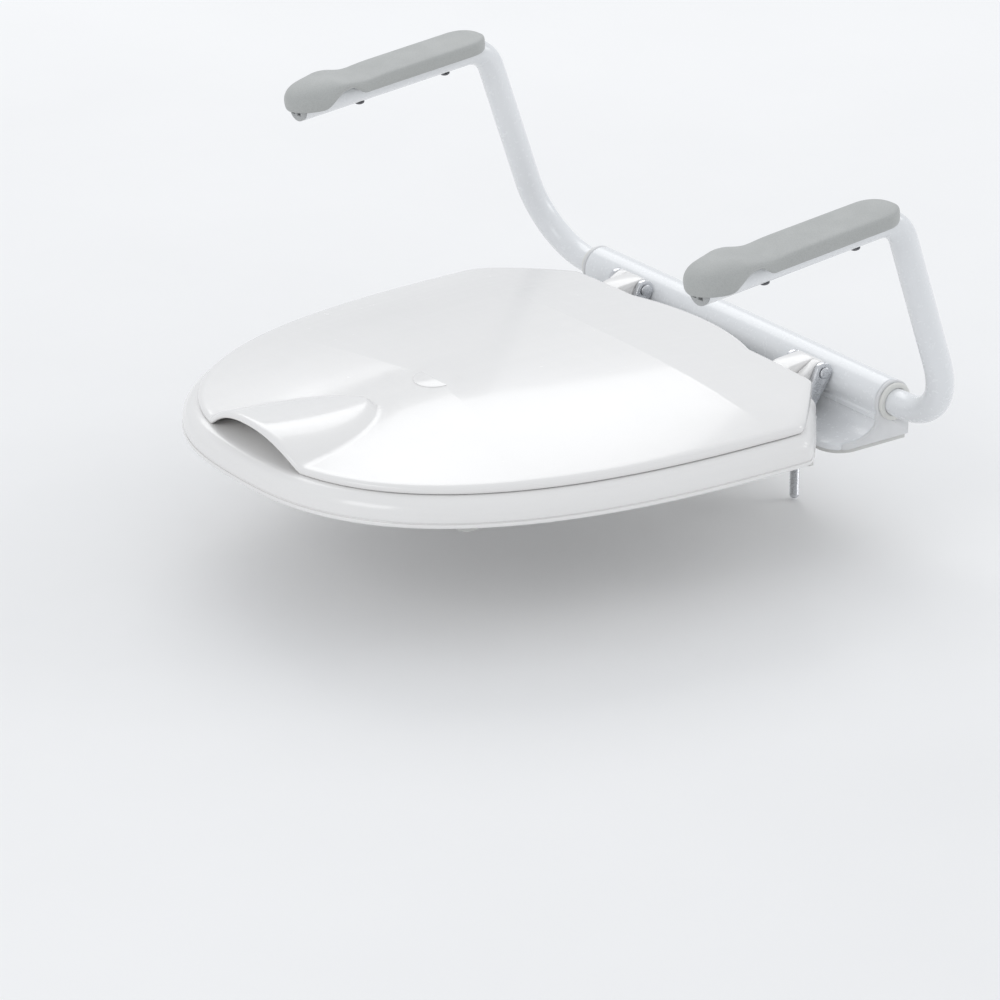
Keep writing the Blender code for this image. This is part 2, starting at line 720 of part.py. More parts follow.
def build_pad(side, word):
    loops = [pad_section(*station) for station in pad_stations()]
    shape = mirrored(tilted(skin(loops)), side)
    pad = add_part("arm_pad_" + word, shape, PAD_GREY, (side * ARM_X, 0, PIVOT_Z))
    path = [point for point in arm_path(TUBE_FRONT - 4.3) if point.z > PIVOT_Z + 100.0]
    channel = skin(sweep_loops(path, TUBE_R + 0.3, 24))
    boolean(pad, add_tool("tool_channel_" + word, mirrored(channel, side)), "DIFFERENCE")


def build_plug(side, word):
    """Ribbed end plug of the pad tube, with two openings beside a middle rib."""
    inside = TUBE_IN_R - 0.3
    flange = TUBE_FRONT - 0.3
    centre = (side * ARM_X, 0, PAD_TUBE_Z)
    profile = [(inside, flange + 14.0), (inside, flange), (TUBE_R - 0.2, flange)]
    profile += [(TUBE_R - 0.2, flange - 2.8), (TUBE_R - 1.2, flange - 3.7)]
    shape = tilted(turned(profile, centre, "y", 24))
    plug = add_part("tube_end_plug_" + word, shape, PLUG_GREY, (side * ARM_X, 0, PIVOT_Z))
    x = side * ARM_X
    z = PAD_TUBE_Z
    pockets = []
    for low, high in ((-6.4, -1.3), (1.3, 6.4)):
        pocket = box((x + low, flange - 6.0, z - 4.6), (x + high, flange + 10.0, z + 4.6))
        pockets.append(tilted(pocket))
    boolean(plug, add_tool("tool_pockets_" + word, merge(*pockets)), "DIFFERENCE")


def build_pad_screw(side, word, y, place):
    """Pan-head screw under the pad tube."""
    low = PAD_TUBE_Z - TUBE_R - 0.3
    profile = [(3.9, low), (3.9, low - 0.9), (3.0, low - 2.1), (1.2, low - 2.6)]
    shape = tilted(turned(profile, (side * ARM_X, y, 0), "z", 12))
    add_part("pad_screw_" + word + "_" + place, shape, DARK_STEEL, (side * ARM_X, 0, PIVOT_Z))


def build_stop_collar(side, word):
    """Collar on the arm tube inside the rail; its gap lets the arm swing between its stops."""
    inner = TUBE_R + 0.3
    outer = BORE_R - 0.4
    start = math.radians(106.0)
    turn = math.radians(243.0)
    loops = []
    for i in range(21):
        a = start + turn * i / 20.0
        c = math.cos(a)
        s = math.sin(a)
        x0 = STOP_X + 7.5
        x1 = STOP_X - 6.0
        corners = ((inner, x0), (outer, x0), (outer, x1), (inner, x1))
        loops.append([(x, r * c, PIVOT_Z + r * s) for r, x in corners])
    add_part("arm_stop_collar_" + word, mirrored(skin(loops), side), NYLON, (side * ARM_X, 0, PIVOT_Z))


def build_arm(side, word):
    build_arm_tube(side, word)
    build_pad(side, word)
    build_plug(side, word)
    for y, place in zip(PAD_SCREW_Y, ("rear", "front")):
        build_pad_screw(side, word, y, place)
    build_stop_collar(side, word)


def build():
    clear_scene()
    build_rail()
    build_mat()
    bore = build_hinges()
    build_seat(bore)
    build_lid(bore)
    build_bumpers()
    for side, word in ((1, "right"), (-1, "left")):
        build_bush(side, word)
        build_stop_pin(side, word)
        build_bolt(side, word)
        build_washer(side, word)
        build_wing_nut(side, word)
        build_arm(side, word)


build()
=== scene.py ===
"""Visual model of a toilet seat with lid on a rear rail with two fold-up arm supports.

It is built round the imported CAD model, in the same frame: metres, +Z up, front towards -Y.
Shape numbers are millimetres and are scaled once, in add_piece.
"""
import math

import bmesh
import bpy
from mathutils import Matrix, Vector


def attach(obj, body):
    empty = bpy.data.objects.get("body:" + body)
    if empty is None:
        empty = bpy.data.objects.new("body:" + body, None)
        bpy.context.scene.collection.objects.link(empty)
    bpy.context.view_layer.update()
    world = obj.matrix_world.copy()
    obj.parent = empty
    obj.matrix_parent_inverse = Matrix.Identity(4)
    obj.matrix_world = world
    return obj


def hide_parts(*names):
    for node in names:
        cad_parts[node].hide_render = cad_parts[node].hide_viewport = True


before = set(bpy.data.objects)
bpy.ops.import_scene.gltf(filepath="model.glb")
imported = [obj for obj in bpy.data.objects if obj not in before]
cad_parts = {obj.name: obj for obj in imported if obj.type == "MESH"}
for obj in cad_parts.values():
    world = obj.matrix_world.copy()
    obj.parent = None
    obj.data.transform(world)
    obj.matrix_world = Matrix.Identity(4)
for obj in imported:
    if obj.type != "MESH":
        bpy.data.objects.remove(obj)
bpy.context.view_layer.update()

MM = 0.001
TAU = 2.0 * math.pi
SIDES = ((1, "right"), (-1, "left"))

# Rail.
PIVOT_Z = 33.5
RAIL_HALF = 183.0
CAP_THICK = 3.2
RAIL_TOP_R = 16.0
BORE_R = 13.0
FOOT_Z = 3.5
FOOT_TOP = 8.5
FOOT_FRONT = -56.0
FOOT_SWEEP = -36.0
REAR_Y = 16.0
FOOT_CORNER_R = 20.0
RIDGE_Z = (24.4, 20.6)

# Bolts.
BOLT_X = 77.5
BOLT_Y = -5.0
THREAD_R = 3.9
THREAD_DEPTH = 0.65
THREAD_PITCH = 1.25
BOLT_TIP = -81.0
THREAD_TOP = -22.0
HEAD_Z = (8.3, 13.8)

# Arm supports.
ARM_X = 257.0
TUBE_R = 10.5
TUBE_IN_R = 8.5
ARM_INNER_END = 130.0
LOWER_BEND_R = 60.0
UPPER_BEND_R = 25.0
LEAN = math.radians(19.1)
PAD_TUBE_Z = PIVOT_Z + 168.5
TUBE_FRONT = -238.0
PAD_TILT = math.radians(6.0)
PAD_TILT_Y = -150.0
PAD_REAR = -64.0
PAD_FRONT = -248.0
PAD_HALF = 20.0
PAD_TOP = 13.6
PAD_UNDER = 2.2
PAD_SCREW_Y = (-101.0, -183.0)

# Hinges.
HINGE_Y = -22.0
HINGE_Z = PIVOT_Z + 10.0
EYE_R = 7.8
PIN_R = 3.5
LID_LUG = (98.0, 118.0)
SEAT_LUG = (118.5, 126.6)

# Seat ring and lid.
PLAN_CENTRE_Y = -245.0
LID_HALF = 211.0
LID_SIDE_REAR = -111.0
LID_FRONT = -452.0
LID_REAR = -48.0
LID_REAR_HALF = 152.0
LID_BULGE = 14.0
LID_BULGE_HALF = 74.0
PLAN_POWER = 2.6
SEAT_OUTSET = 12.0
SEAT_BOTTOM = 19.0
SEAT_TOP = 39.8
HOLE_HALF = 112.0
HOLE_CENTRE_Y = -250.0
HOLE_HALF_LENGTH = 138.0
LID_RIM = 40.3
LID_RIM_H = 4.6
LID_CROWN = 15.0
LID_THICK = 3.4
HOOD_HALF = 60.0
HOOD_LENGTH = 106.0
HOOD_H = 19.0
REAR_CREASE_Y = -132.0
REAR_CREASE_SLOPE = 0.105
FRONT_CREASE_Y = -287.0
FRONT_CREASE_SWEEP = 0.2
FRONT_CREASE_SLOPE = 0.055
THUMB_R = 17.0


# ---------------------------------------------------------------- mesh helpers


def add_piece(name, verts, faces, sharp=35.0):
    mesh = bpy.data.meshes.new(name)
    mesh.from_pydata([(x * MM, y * MM, z * MM) for x, y, z in verts], [], faces)
    bm = bmesh.new()
    bm.from_mesh(mesh)
    bmesh.ops.remove_doubles(bm, verts=bm.verts, dist=1e-7)
    bmesh.ops.recalc_face_normals(bm, faces=bm.faces)
    bm.to_mesh(mesh)
    bm.free()
    mesh.shade_smooth()
    mesh.set_sharp_from_angle(angle=math.radians(sharp))
    obj = bpy.data.objects.new(name, mesh)
    bpy.context.scene.collection.objects.link(obj)
    return obj


def finish_piece(obj, body, slot, look, *nodes):
    obj.data.materials.clear()
    obj.data.materials.append(look)
    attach(obj, body)
    if nodes:
        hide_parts(*nodes)
    return obj


def skin(loops, ends=True, ring=False):
    """Quads between loops of equal length, with the first and last closed or joined."""
    count = len(loops[0])
    verts = [p for loop in loops for p in loop]
    faces = []
    rows = len(loops) if ring else len(loops) - 1
    for r in range(rows):
        a = r * count
        b = (r + 1) % len(loops) * count
        for k in range(count):
            n = (k + 1) % count
            faces.append((a + k, a + n, b + n, b + k))
    if ends and not ring:
        faces.append(tuple(range(count)))
        faces.append(tuple(range(len(verts) - count, len(verts))))
    return verts, faces


def mirrored(shape, side):
    verts, faces = shape
    if side > 0:
        return shape
    return [(-x, y, z) for x, y, z in verts], [tuple(reversed(f)) for f in faces]


def merged(*shapes):
    verts = []
    faces = []
    for more, polygons in shapes:
        base = len(verts)
        verts += list(more)
        faces += [tuple(i + base for i in f) for f in polygons]
    return verts, faces


def circle(centre, radius, count, start=0.0, turn=TAU):
    last = count if abs(turn) >= TAU - 1e-6 else count - 1
    points = []
    for i in range(count):
        a = start + turn * i / last
        points.append((centre[0] + radius * math.cos(a), centre[1] + radius * math.sin(a)))
    return points


def place(axis, u, v, w):
    """Point with u along the axis and v, w across it."""
    if axis == "x":
        return (u, v, w)
    if axis == "y":
        return (v, u, w)
    return (v, w, u)


def turned(profile, centre, axis, count=48):
    """Solid of revolution; the profile is (radius, position along the axis)."""
    loops = []
    for radius, along in profile:
        loop = []
        for c, s in circle((0.0, 0.0), radius, count):
            px, py, pz = place(axis, along, c, s)
            loop.append((centre[0] + px, centre[1] + py, centre[2] + pz))
        loops.append(loop)
    return skin(loops)


def box(low, high):
    x0, y0, z0 = low
    x1, y1, z1 = high
    bottom = [(x0, y0, z0), (x1, y0, z0), (x1, y1, z0), (x0, y1, z0)]
    return skin([bottom, [(x, y, z1) for x, y, z in bottom]])


def spline(points, steps, closed=True):
    """Centripetal Catmull-Rom curve through 2-D points."""
    count = len(points)
    result = []
    spans = count if closed else count - 1
    for i in range(spans):
        if closed:
            p = [Vector(points[(i + k) % count]) for k in (-1, 0, 1, 2)]
        else:
            p = [Vector(points[min(count - 1, max(0, i + k))]) for k in (-1, 0, 1, 2)]
        gaps = [max(0.05, (p[k + 1] - p[k]).length ** 0.5) for k in range(3)]
        m1 = (p[1] - p[0]) / gaps[0] - (p[2] - p[0]) / (gaps[0] + gaps[1]) + (p[2] - p[1]) / gaps[1]
        m2 = (p[2] - p[1]) / gaps[1] - (p[3] - p[1]) / (gaps[1] + gaps[2]) + (p[3] - p[2]) / gaps[2]
        m1 = m1 * gaps[1]
        m2 = m2 * gaps[1]
        for k in range(steps):
            t = k / steps
            a = 2 * t ** 3 - 3 * t ** 2 + 1
            b = t ** 3 - 2 * t ** 2 + t
            c = -2 * t ** 3 + 3 * t ** 2
            d = t ** 3 - t ** 2
            q = p[1] * a + m1 * b + p[2] * c + m2 * d
            result.append(tuple(q))
    if not closed:
        result.append(tuple(points[-1]))
    return result


def smooth(value):
    value = min(1.0, max(0.0, value))
    return value * value * (3.0 - 2.0 * value)


def cut(obj, tool):
    """Boolean applied to the mesh at once; the tool is removed."""
    modifier = obj.modifiers.new("cut", "BOOLEAN")
    modifier.operation = "DIFFERENCE"
    modifier.solver = "EXACT"
    modifier.object = tool
    depsgraph = bpy.context.evaluated_depsgraph_get()
    mesh = bpy.data.meshes.new_from_object(obj.evaluated_get(depsgraph))
    obj.modifiers.clear()
    obj.data = mesh
    bpy.data.objects.remove(tool, do_unlink=True)


def soften(obj, width, segments=2, angle=35.0):
    """Round the sharp edges of a finished mesh."""
    bm = bmesh.new()
    bm.from_mesh(obj.data)
    bmesh.ops.remove_doubles(bm, verts=bm.verts, dist=2e-6)
    flat = math.radians(1.5)
    bmesh.ops.dissolve_limit(bm, angle_limit=flat, verts=bm.verts, edges=bm.edges)
    limit = math.radians(angle)
    sharp = [e for e in bm.edges if len(e.link_faces) == 2 and e.calc_face_angle() > limit]
    bmesh.ops.bevel(bm, geom=sharp, offset=width * MM, segments=segments, profile=0.5,
                    affect="EDGES", clamp_overlap=True)
    bm.to_mesh(obj.data)
    bm.free()
    obj.data.shade_smooth()
    obj.data.set_sharp_from_angle(angle=math.radians(angle))
    return obj


def rounded_copy(node, name, width, segments=2):
    """A CAD node's own shape with its edges rounded."""
    obj = bpy.data.objects.new(name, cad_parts[node].data.copy())
    bpy.context.scene.collection.objects.link(obj)
    return soften(obj, width, segments)


# ---------------------------------------------------------------- materials


class Nodes:
    """Short way to build a node tree."""

    def __init__(self, name):
        self.material = bpy.data.materials.new(name)
        self.material.use_nodes = True
        self.tree = self.material.node_tree
        self.shader = self.tree.nodes["Principled BSDF"]
        self.coords = self.add("ShaderNodeTexCoord").outputs["Object"]

    def add(self, kind, **values):
        node = self.tree.nodes.new(kind)
        for key, value in values.items():
            setattr(node, key, value)
        return node

    def link(self, source, target):
        self.tree.links.new(source, target)

    def set(self, **values):
        for key, value in values.items():
            self.shader.inputs[key.replace("_", " ")].default_value = value

    def stretched(self, scale):
        mapping = self.add("ShaderNodeMapping")
        mapping.inputs["Scale"].default_value = scale
        self.link(self.coords, mapping.inputs["Vector"])
        return mapping.outputs["Vector"]

    def noise(self, scale, detail=2.0, rough=0.5, vector=None):
        node = self.add("ShaderNodeTexNoise")
        node.inputs["Scale"].default_value = scale
        node.inputs["Detail"].default_value = detail
        node.inputs["Roughness"].default_value = rough
        self.link(vector or self.coords, node.inputs["Vector"])
        return node.outputs["Fac"]

    def cells(self, scale, feature="F1"):
        node = self.add("ShaderNodeTexVoronoi", feature=feature)
        node.inputs["Scale"].default_value = scale
        self.link(self.coords, node.inputs["Vector"])
        return node.outputs["Distance"]

    def span(self, value, low, high, source_low=0.3, source_high=0.7):
        node = self.add("ShaderNodeMapRange", clamp=True)
        node.inputs["From Min"].default_value = source_low
        node.inputs["From Max"].default_value = source_high
        node.inputs["To Min"].default_value = low
        node.inputs["To Max"].default_value = high
        self.link(value, node.inputs["Value"])
        return node.outputs["Result"]

    def mix(self, factor, first, second):
        node = self.add("ShaderNodeMix", data_type="RGBA")
        self.link(factor, node.inputs["Factor"])
        for value, socket in ((first, node.inputs["A"]), (second, node.inputs["B"])):
            if isinstance(value, tuple):
                socket.default_value = (*value, 1.0)
            else:
                self.link(value, socket)
        return node.outputs["Result"]

    def bump(self, height, strength, distance, before=None):
        node = self.add("ShaderNodeBump")
        node.inputs["Strength"].default_value = strength
        node.inputs["Distance"].default_value = distance
        self.link(height, node.inputs["Height"])
        if before is not None:
            self.link(before, node.inputs["Normal"])
        return node.outputs["Normal"]

    def finish(self, colour, roughness, normal):
        self.link(colour, self.shader.inputs["Base Color"])
        self.link(roughness, self.shader.inputs["Roughness"])
        self.link(normal, self.shader.inputs["Normal"])
        return self.material


def shade(colour, factor):
    return tuple(min(1.0, c * factor) for c in colour)


def powder_coat(name, colour):
    """Gloss powder coat: orange peel, faint clouding and tiny specks."""
    n = Nodes(name)
    n.set(Coat_Weight=0.3, Coat_Roughness=0.1, IOR=1.5)
    cloud = n.span(n.noise(6.0, 3.0), 0.0, 1.0)
    tone = n.mix(cloud, shade(colour, 0.985), shade(colour, 1.005))
    speck = n.span(n.cells(420.0), 1.0, 0.0, 0.02, 0.09)
    tone = n.mix(n.span(speck, 0.0, 0.02, 0.0, 1.0), tone, shade(colour, 0.7))
    rough = n.span(n.noise(300.0, 3.0), 0.25, 0.28)
    peel = n.bump(n.noise(240.0, 1.0), 0.02, 0.00004)
    return n.finish(tone, rough, peel)


def seat_plastic(name, colour):
    """Compression-moulded gloss: very slight ripple, fine hairlines in the gloss."""
    n = Nodes(name)
    n.set(Coat_Weight=0.35, Coat_Roughness=0.07, IOR=1.5)
    cloud = n.span(n.noise(5.0, 3.0), 0.0, 1.0)
    tone = n.mix(cloud, shade(colour, 0.985), shade(colour, 1.005))
    tone = n.mix(n.span(n.noise(900.0, 2.0), 0.0, 0.05), tone, shade(colour, 0.75))
    hair = n.noise(160.0, 6.0, 0.75, n.stretched((1.0, 0.06, 1.0)))
    hair2 = n.noise(150.0, 6.0, 0.75, n.stretched((0.08, 1.0, 1.0)))
    rough = n.add("ShaderNodeMath", operation="MULTIPLY")
    n.link(n.span(hair, 0.85, 1.3), rough.inputs[0])
    n.link(n.span(hair2, 0.17, 0.23), rough.inputs[1])
    ripple = n.bump(n.noise(14.0, 1.0), 0.04, 0.0008)
    normal = n.bump(n.noise(700.0, 1.0), 0.05, 0.00005, ripple)
    return n.finish(tone, rough.outputs[0], normal)


def pad_skin(name, colour):
    """Soft moulded grip: pebbled spark texture, with painted shade darkening the valleys between the pebbles.
    """
    n = Nodes(name)
    n.set(IOR=1.46, Sheen_Weight=0.12, Sheen_Roughness=0.5)
    cloud = n.span(n.noise(18.0, 4.0), 0.0, 1.0)
    tone = n.mix(cloud, shade(colour, 0.98), shade(colour, 1.015))
    pebble = n.cells(1300.0)
    # Painted shade: the valleys between the pebbles, which are the low points of the bump below, are darkened
    # in colour.
    tone = n.mix(n.span(pebble, 0.0, 0.35, 0.25, 0.75), tone, shade(colour, 0.72))
    rough = n.span(n.noise(60.0, 3.0), 0.46, 0.62)
    fine = n.bump(n.noise(2600.0, 2.0), 0.25, 0.00005)
    normal = n.bump(n.span(pebble, 1.0, 0.0, 0.1, 0.7), 0.35, 0.00009, fine)
    return n.finish(tone, rough, normal)


def moulded(name, colour, roughness, grain=900.0, depth=0.00005):
    """Plain moulded plastic or rubber with a fine grain and slight clouding."""
    n = Nodes(name)
    n.set(IOR=1.48)
    cloud = n.span(n.noise(45.0, 3.0), 0.0, 1.0)
    tone = n.mix(cloud, shade(colour, 0.94), shade(colour, 1.03))
    rough = n.span(n.noise(130.0, 3.0), roughness * 0.85, roughness * 1.15)
    normal = n.bump(n.noise(grain, 2.0), 0.3, depth)
    return n.finish(tone, rough, normal)


def metal(name, colour, roughness, stretch):
    """Plated or blackened steel with drawn lines, dull patches and small pits."""
    n = Nodes(name)
    n.set(Metallic=1.0)
    lines = n.noise(1200.0, 3.0, 0.6, n.stretched(stretch))
    patch = n.noise(220.0, 4.0)
    tone = n.mix(n.span(patch, 0.0, 1.0), shade(colour, 0.97), shade(colour, 1.02))
    rough = n.span(lines, roughness * 0.9, roughness * 1.12)
    pits = n.bump(n.span(n.cells(900.0), 0.0, 1.0, 0.05, 0.3), 0.03, 0.00003)
    normal = n.bump(lines, 0.05, 0.00003, pits)
    return n.finish(tone, rough, normal)


WHITE_COAT = powder_coat("powder_white", (0.80, 0.815, 0.83))
CAP_PLASTIC = moulded("cap_white", (0.70, 0.705, 0.71), 0.36)
SEAT_GLOSS = seat_plastic("seat_white", (0.84, 0.832, 0.822))
PAD_SKIN = pad_skin("pad_grey", (0.44, 0.452, 0.442))
PLUG_PLASTIC = moulded("plug_grey", (0.42, 0.43, 0.43), 0.42)
WASHER_RUBBER = moulded("rubber_grey", (0.10, 0.10, 0.105), 0.7, 600.0, 0.0001)
PALE_RUBBER = moulded("rubber_pale", (0.62, 0.62, 0.60), 0.62, 700.0, 0.0001)
NYLON = moulded("nylon", (0.72, 0.72, 0.69), 0.38)
STEEL = metal("steel", (0.66, 0.67, 0.69), 0.28, (0.15, 1.0, 1.0))
DARK_STEEL = metal("dark_steel", (0.16, 0.16, 0.17), 0.35, (1.0, 1.0, 1.0))


# ---------------------------------------------------------------- rail


def rail_outline(inset=0.0):
    """Side outline of the extrusion: round top, twin ridge line, sweep into the flat foot."""
    points = circle((0.0, PIVOT_Z), RAIL_TOP_R - inset, 40, 0.0, math.radians(203.0))
    upper, lower = RIDGE_Z
    points += [(-14.5 + inset, upper + 1.1), (-15.0 + inset, upper + 0.5), (-15.8 + inset, upper)]
    points += [(-15.9 + inset, lower + 0.6), (-15.2 + inset, lower + 0.1), (-14.9 + inset, lower - 0.5)]
    reach = FOOT_SWEEP + 14.9
    for i in range(1, 15):
        a = math.pi / 2.0 * i / 14.0
        points.append((FOOT_SWEEP - reach * math.cos(a), lower - (lower - FOOT_TOP) * math.sin(a) - inset))
    front = FOOT_FRONT + inset
    top = FOOT_TOP - inset
    points += [(-44.0, top), (front + 1.6, top), (front + 0.5, top - 0.5), (front, top - 1.6)]
    points += [(front, FOOT_Z + inset + 0.5), (front + 0.5, FOOT_Z + inset)]
    points += [(-36.0, FOOT_Z + inset), (REAR_Y - inset - 0.5, FOOT_Z + inset)]
    points += [(REAR_Y - inset, FOOT_Z + inset + 0.5), (REAR_Y - inset, PIVOT_Z - 4.0)]
    return points


def rail_loop(x, inset=0.0):
    """Outline at a station along the rail, with the foot drawn in towards its round corners."""
    reach = RAIL_HALF + CAP_THICK + 0.3
    over = max(0.0, abs(x) - (reach - FOOT_CORNER_R))
    front = FOOT_FRONT + FOOT_CORNER_R - math.sqrt(max(0.0, FOOT_CORNER_R ** 2 - over ** 2))
    share = (front - FOOT_SWEEP) / (FOOT_FRONT - FOOT_SWEEP)
    loop = []
    for y, z in rail_outline(inset):
        if y < FOOT_SWEEP:
            y = FOOT_SWEEP + (y - FOOT_SWEEP) * max(0.03, share)
        loop.append((x, y, z))
    return loop


def corner_stations(low, high, count):
    """Stations packed closer towards the end, where the foot's corner turns."""
    return [low + (high - low) * math.sin(math.pi / 2.0 * i / count) for i in range(count + 1)]


def build_rail():
    ends = corner_stations(160.0, RAIL_HALF - 0.8, 12)
    right = [rail_loop(x) for x in ends] + [rail_loop(RAIL_HALF, 0.8)]
    middle = [rail_loop(x) for x in (-120.0, -60.0, 0.0, 60.0, 120.0)]
    left = [[(-x, y, z) for x, y, z in loop] for loop in reversed(right)]
    rail = add_piece("rail_body", *skin(left + middle + right), sharp=28.0)
    span = RAIL_HALF + 30.0
    bore = turned([(BORE_R, -span), (BORE_R, span)], (0, 0, PIVOT_Z), "x", 64)
    cut(rail, add_piece("bore_tool", *bore))
    slots = [box((s * BOLT_X - 8.0, BOLT_Y - 4.4, -2.0), (s * BOLT_X + 8.0, BOLT_Y + 4.4, 10.0))
             for s in (1, -1)]
    chamber = box((-span, -13.0, 8.0), (span, 12.0, 16.5))
    cut(rail, add_piece("chamber_tool", *chamber))
    cut(rail, add_piece("slot_tool", *merged(*slots)))
    finish_piece(rail, "rail", "powder_white", WHITE_COAT, "rail_profile")
    for side, word in SIDES:
        build_cap(side, word)
        build_stop(word)


def build_cap(side, word):
    """Moulded end cap that follows the rail's outline, with a rounded outer edge."""
    start = RAIL_HALF + 0.3
    stop = start + CAP_THICK
    loops = [rail_loop(start, 0.7), rail_loop(start + 0.7)]
    for i in range(6):
        a = math.pi / 2.0 * i / 5.0
        loops.append(rail_loop(stop - 1.1 + 1.1 * math.sin(a), 1.1 * (1.0 - math.cos(a))))
    cap = add_piece("end_cap_" + word, *mirrored(skin(loops), side), sharp=30.0)
    bore = turned([(BORE_R, 150.0 * side), (BORE_R, 220.0 * side)], (0, 0, PIVOT_Z), "x", 64)
    cut(cap, add_piece("cap_tool_" + word, *bore))
    finish_piece(cap, "rail", "cap_white", CAP_PLASTIC, "rail_end_cap_" + word)


def build_stop(word):
    for node, name, look, slot, width in (
        ("pivot_bush_" + word, "bush_" + word, NYLON, "nylon", 0.35),
        ("hinge_pin_" + word, "hinge_rivet_" + word, STEEL, "steel", 0.25),
        ("hinge_bracket_" + word, "hinge_ears_" + word, STEEL, "steel", 0.5),
        ("arm_stop_pin_" + word, "stop_pin_" + word, STEEL, "steel", 0.25),
    ):
        finish_piece(rounded_copy(node, name, width), "rail", slot, look, node)


def build_mat():
    mat = rounded_copy("base_mat", "mat", 0.5, 2)
    finish_piece(mat, "rail", "rubber_pale", PALE_RUBBER, "base_mat")


def screw_head(name, centre, base, direction, radius):
    """Pan head with a cross recess, standing on base along +Z or -Z."""
    profile = [(radius * 0.92, base), (radius, base + direction * 0.25)]
    profile.append((radius, base + direction * 0.8))
    for i in range(1, 8):
        a = math.pi / 2.0 * i / 8.0
        height = 0.8 + 1.8 * math.sin(a)
        profile.append((radius * math.cos(a) + 0.02, base + direction * height))
    head = add_piece(name, *turned(profile, (*centre, 0.0), "z", 40))
    floor = base + direction * 1.1
    outer = base + direction * 4.0
    low = min(floor, outer)
    high = max(floor, outer)
    x, y = centre
    slots = merged(box((x - 0.42, y - radius * 0.56, low), (x + 0.42, y + radius * 0.56, high)))
    cut(head, add_piece("slot_a", *slots))
    slots = box((x - radius * 0.56, y - 0.42, low), (x + radius * 0.56, y + 0.42, high))
    cut(head, add_piece("slot_b", *slots))
    head.data.set_sharp_from_angle(angle=math.radians(35.0))
    return head


def build_hinge_screws():
    for side, word in SIDES:
        for x, spot in ((104.0, "inner"), (120.5, "outer")):
            node = "hinge_screw_" + word + "_" + spot
            head = screw_head("bracket_" + node, (side * x, -50.0), FOOT_TOP + 3.6, 1, 3.5)
            finish_piece(head, "rail", "steel", STEEL, node)


# ---------------------------------------------------------------- fixings


def thread_radius(angle, z):
    """Radius of a right-hand M8 thread, ending in a rounded point."""
    phase = (z / THREAD_PITCH - angle / TAU) % 1.0
    groove = THREAD_DEPTH * (1.0 - abs(2.0 * phase - 1.0) ** 1.3)
    groove = groove * smooth((THREAD_TOP - z) / 2.0) * smooth((z - BOLT_TIP) / 4.0)
    tip = min(1.0, (z - BOLT_TIP) / 3.6)
    point = math.sqrt(max(0.0004, 1.0 - (1.0 - tip) ** 2))
    return (THREAD_R - groove) * point


def build_bolt(side, word):
    x = side * BOLT_X
    loops = []
    stations = [HEAD_Z[0] + 0.5, THREAD_TOP + 1.0]
    z = THREAD_TOP
    while z > BOLT_TIP + 3.6:
        stations.append(z)
        z -= THREAD_PITCH / 7.0
    stations += [BOLT_TIP + 3.6 * (1.0 - math.sin(math.pi / 2.0 * i / 12.0)) for i in range(13)]
    for z in stations:
        loop = []
        for i in range(36):
            angle = TAU * i / 36.0
            r = thread_radius(angle, z)
            loop.append((x + r * math.cos(angle), BOLT_Y + r * math.sin(angle), z))
        loops.append(loop)
    shank = add_piece("bolt_shank_" + word, *skin(loops), sharp=60.0)
    finish_piece(shank, "rail", "steel", STEEL, "bolt_" + word)
    low = (x - 6.0, BOLT_Y - 6.0, HEAD_Z[0])
    high = (x + 6.0, BOLT_Y + 6.0, HEAD_Z[1])
    head = soften(add_piece("bolt_head_" + word, *box(low, high)), 0.8, 3)
    finish_piece(head, "rail", "steel", STEEL)


def build_fixings():
    for side, word in SIDES:
        build_bolt(side, word)
        washer = rounded_copy("cone_washer_" + word, "washer_" + word, 0.5, 3)
        finish_piece(washer, "washer_" + word, "rubber_grey", WASHER_RUBBER, "cone_washer_" + word)
        nut = rounded_copy("wing_nut_" + word, "nut_" + word, 0.8, 3)
        finish_piece(nut, "nut_" + word, "nylon", NYLON, "wing_nut_" + word)


# ---------------------------------------------------------------- seat ring and lid


def front_arc(outset, count):
    half = LID_HALF + outset
    reach = LID_SIDE_REAR - LID_FRONT + outset
    points = []
    for i in range(1, count + 1):
        angle = math.pi / 2.0 * i / count
        x = half * max(0.0, math.cos(angle)) ** (2.0 / PLAN_POWER)
        points.append((x, LID_SIDE_REAR - reach * math.sin(angle) ** (2.0 / PLAN_POWER)))
    return points


def plan(outset, rear_half, rear_y, bulge):
    """Smooth plan outline: straight rear with a middle bulge, full sides, round front."""
    right = []
    for i in range(9):
        x = LID_BULGE_HALF * i / 8.0
        right.append((x, rear_y + bulge * (1.0 - (x / LID_BULGE_HALF) ** 2)))
    for x in (86.0, 97.6, 108.0, 118.4, 136.0):
        right.append((x, rear_y))
    right += [(rear_half - 3.0, rear_y - 0.4), (rear_half, rear_y - 3.0)]
    wide = LID_HALF + outset
    middle_x = rear_half + 0.52 * (wide - rear_half)
    right.append((middle_x, rear_y + 0.48 * (LID_SIDE_REAR - rear_y)))
    right += [(wide - 1.8, LID_SIDE_REAR + 6.0), (wide, LID_SIDE_REAR - 1.0)]
    right += front_arc(outset, 34)
    left = [(-x, y) for x, y in right[-2:0:-1]]
    return spline(right + left, 3)


def toward(point, target, distance):
    dx = target[0] - point[0]
    dy = target[1] - point[1]
    length = math.hypot(dx, dy)
    return (point[0] + dx * distance / length, point[1] + dy * distance / length)


def hole_point(point):
    angle = math.atan2(point[1] - HOLE_CENTRE_Y, point[0])
    c = abs(math.cos(angle)) / HOLE_HALF
    s = abs(math.sin(angle)) / HOLE_HALF_LENGTH
    radius = (c ** 2.2 + s ** 2.2) ** (-1.0 / 2.2)
    return (radius * math.cos(angle), HOLE_CENTRE_Y + radius * math.sin(angle))


